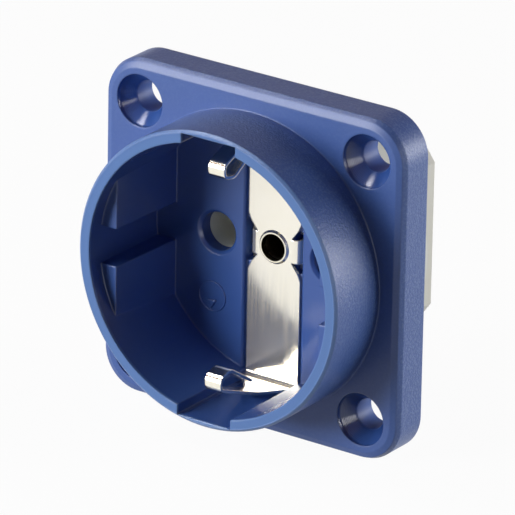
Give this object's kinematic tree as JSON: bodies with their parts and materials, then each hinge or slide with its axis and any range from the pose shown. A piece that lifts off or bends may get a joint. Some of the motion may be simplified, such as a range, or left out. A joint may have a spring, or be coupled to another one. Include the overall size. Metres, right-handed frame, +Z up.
{
  "type": "flush panel socket",
  "caption": "Blue square-flanged earthed power socket with a round recess, earth clips, pin holes and a light rear carrier with screw terminals.",
  "frame": {"origin": "centre of the flange's back face, in the middle of its four screw holes", "axes": "+X to the right, +Y to the rear into the panel, +Z up along the earth strap"},
  "size_m": [0.05, 0.0365, 0.05],
  "materials": {
    "blue_plastic": "satin moulded",
    "grey_plastic": "satin moulded",
    "white_plastic": "satin moulded",
    "nickel_plate": "bright nickel plate on sheet",
    "brass": "bright rolled",
    "zinc_steel": "zinc plated"
  },
  "bodies": {
    "housing": {"front_housing": "blue_plastic", "carrier_disc": "white_plastic", "contact_carrier": "grey_plastic", "earth_strap": "nickel_plate", "centre_rivet": "nickel_plate", "earth_link": "brass", "contact_left": "brass", "sleeve_spring_left": "zinc_steel", "contact_right": "brass", "sleeve_spring_right": "zinc_steel"},
    "screw_left": {"terminal_screw_left": "zinc_steel"},
    "cage_left": {"terminal_cage_left": "zinc_steel"},
    "screw_earth": {"terminal_screw_earth": "zinc_steel"},
    "cage_earth": {"terminal_cage_earth": "zinc_steel"},
    "screw_right": {"terminal_screw_right": "zinc_steel"},
    "cage_right": {"terminal_cage_right": "zinc_steel"}
  },
  "joints": [
    {"name": "screw_left_turn", "type": "hinge", "parent": "housing", "child": "screw_left", "pos_m": [-0.0078, 0.01395, -0.0098], "axis": [0, -1, 0], "range_deg": [0, 1440]},
    {"name": "cage_left_slide", "type": "slide", "parent": "housing", "child": "cage_left", "axis": [0, 1, 0], "range_m": [0, 0.0024]},
    {"name": "screw_earth_turn", "type": "hinge", "parent": "housing", "child": "screw_earth", "pos_m": [0, 0.01395, -0.0098], "axis": [0, -1, 0], "range_deg": [0, 1440]},
    {"name": "cage_earth_slide", "type": "slide", "parent": "housing", "child": "cage_earth", "axis": [0, 1, 0], "range_m": [0, 0.0024]},
    {"name": "screw_right_turn", "type": "hinge", "parent": "housing", "child": "screw_right", "pos_m": [0.0078, 0.01395, -0.0098], "axis": [0, -1, 0], "range_deg": [0, 1440]},
    {"name": "cage_right_slide", "type": "slide", "parent": "housing", "child": "cage_right", "axis": [0, 1, 0], "range_m": [0, 0.0024]}
  ],
  "couplings": [
    {"joint": "screw_left_turn", "follows": "cage_left_slide", "rad_per_m": 10472},
    {"joint": "screw_earth_turn", "follows": "cage_earth_slide", "rad_per_m": 10472},
    {"joint": "screw_right_turn", "follows": "cage_right_slide", "rad_per_m": 10472}
  ]
}
